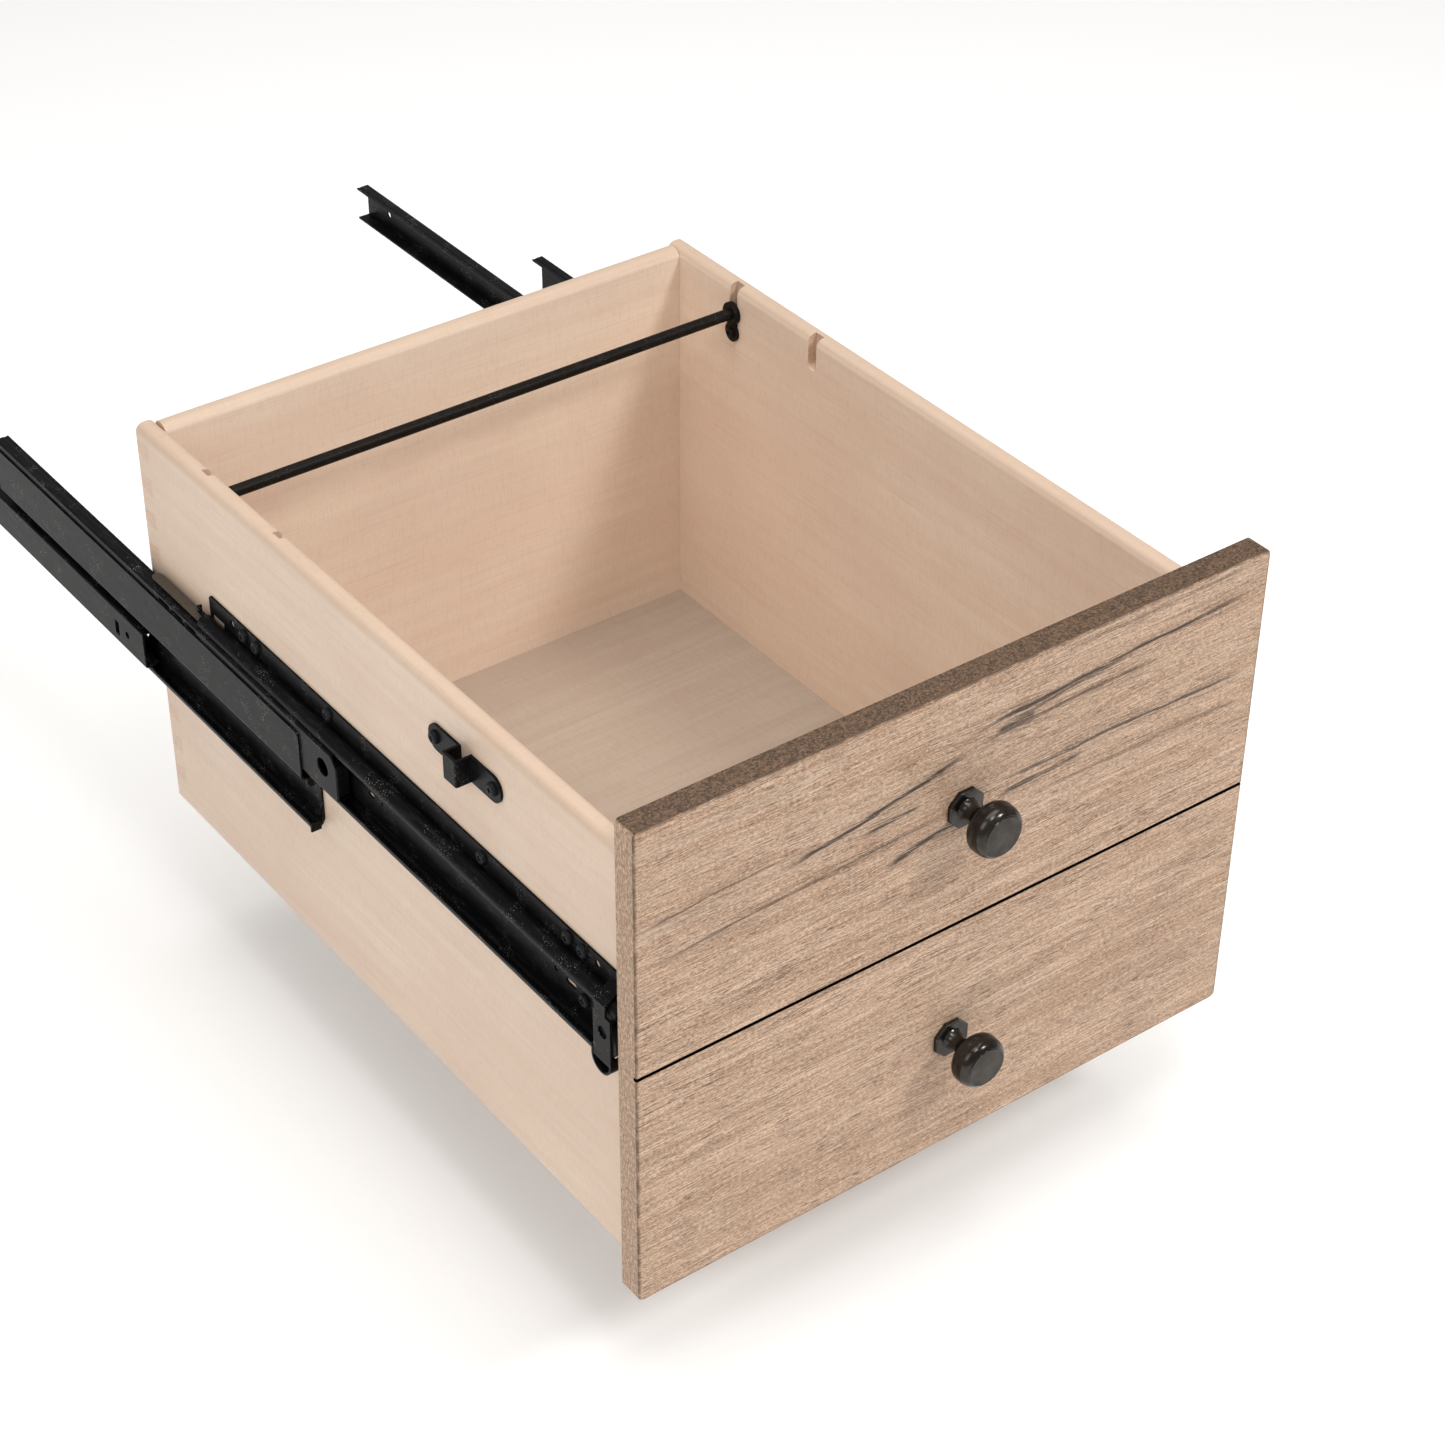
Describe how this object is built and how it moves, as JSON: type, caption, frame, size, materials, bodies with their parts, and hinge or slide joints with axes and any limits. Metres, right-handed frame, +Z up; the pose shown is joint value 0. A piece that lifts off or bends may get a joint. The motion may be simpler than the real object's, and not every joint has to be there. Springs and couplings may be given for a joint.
{
  "type": "under desk drawer",
  "caption": "Wooden under-desk file drawer with a split-look front, round knobs, file rods and full-extension ball-bearing side slides, shown open.",
  "frame": {"origin": "middle of the lower edge of the desk opening that the drawer closes, in the desk's front plane", "axes": "+X to the right seen from in front, +Y into the desk (the way the drawer closes), +Z up; the drawer's front faces -Y"},
  "size_m": [0.3934, 0.9093, 0.294],
  "materials": {
    "front_oak": "weathered oak veneer, satin",
    "box_maple": "pale clear-lacquered wood, satin",
    "bottom_panel": "pale plywood, satin",
    "knob_bronze": "dark bronze, satin",
    "slide_black": "black electrocoat, semi-gloss",
    "rod_black": "black, worn satin",
    "screw_black": "black oxide, satin",
    "cage_steel": "dull pressed steel",
    "ball_steel": "polished",
    "bumper_rubber": "matte"
  },
  "bodies": {
    "middle_left": {"middle_rail_upper_left": "slide_black", "middle_rail_lower_left": "slide_black", "middle_rail_rivets_left": "slide_black"},
    "upper_cage_left": {"upper_ball_cage_left": "cage_steel", "upper_balls_left": "ball_steel"},
    "lower_cage_left": {"lower_ball_cage_left": "cage_steel", "lower_balls_left": "ball_steel"},
    "middle_right": {"middle_rail_upper_right": "slide_black", "middle_rail_lower_right": "slide_black", "middle_rail_rivets_right": "slide_black"},
    "upper_cage_right": {"upper_ball_cage_right": "cage_steel", "upper_balls_right": "ball_steel"},
    "lower_cage_right": {"lower_ball_cage_right": "cage_steel", "lower_balls_right": "ball_steel"},
    "cabinet_rails": {"cabinet_rail_left": "slide_black", "cabinet_rail_right": "slide_black"},
    "drawer": {"box_back": "box_maple", "box_bottom": "bottom_panel", "box_front": "box_maple", "box_side_left": "box_maple", "box_side_right": "box_maple", "catch_bumper_left": "bumper_rubber", "catch_bumper_right": "bumper_rubber", "drawer_front": "front_oak", "drawer_rail_left": "slide_black", "drawer_rail_right": "slide_black", "drawer_rail_screws_left": "screw_black", "drawer_rail_screws_right": "screw_black", "file_rod_front": "rod_black", "file_rod_rear": "rod_black", "front_catch_left": "slide_black", "front_catch_right": "slide_black", "front_fixing_screws": "screw_black", "knob_lower": "knob_bronze", "knob_plate_lower": "knob_bronze", "knob_plate_upper": "knob_bronze", "knob_screws": "screw_black", "knob_upper": "knob_bronze", "lock_strike": "slide_black", "rod_socket_front_left": "rod_black", "rod_socket_front_right": "rod_black", "rod_socket_rear_left": "rod_black", "rod_socket_rear_right": "rod_black", "rod_socket_screws": "screw_black", "strike_screws": "screw_black"}
  },
  "joints": [
    {"name": "drawer_slide", "type": "slide", "parent": "cabinet_rails", "child": "drawer", "axis": [0, 1, 0], "range_m": [0, 0.458]},
    {"name": "middle_left_slide", "type": "slide", "parent": "cabinet_rails", "child": "middle_left", "axis": [0, 1, 0], "range_m": [0, 0.2286]},
    {"name": "upper_cage_left_slide", "type": "slide", "parent": "cabinet_rails", "child": "upper_cage_left", "axis": [0, 1, 0], "range_m": [0, 0.3435]},
    {"name": "lower_cage_left_slide", "type": "slide", "parent": "cabinet_rails", "child": "lower_cage_left", "axis": [0, 1, 0], "range_m": [0, 0.1145]},
    {"name": "middle_right_slide", "type": "slide", "parent": "cabinet_rails", "child": "middle_right", "axis": [0, 1, 0], "range_m": [0, 0.2286]},
    {"name": "upper_cage_right_slide", "type": "slide", "parent": "cabinet_rails", "child": "upper_cage_right", "axis": [0, 1, 0], "range_m": [0, 0.3435]},
    {"name": "lower_cage_right_slide", "type": "slide", "parent": "cabinet_rails", "child": "lower_cage_right", "axis": [0, 1, 0], "range_m": [0, 0.1145]}
  ],
  "couplings": [
    {"joint": "middle_left_slide", "follows": "drawer_slide", "ratio": 0.498},
    {"joint": "upper_cage_left_slide", "follows": "drawer_slide", "ratio": 0.749},
    {"joint": "lower_cage_left_slide", "follows": "drawer_slide", "ratio": 0.249},
    {"joint": "middle_right_slide", "follows": "drawer_slide", "ratio": 0.498},
    {"joint": "upper_cage_right_slide", "follows": "drawer_slide", "ratio": 0.749},
    {"joint": "lower_cage_right_slide", "follows": "drawer_slide", "ratio": 0.249}
  ]
}
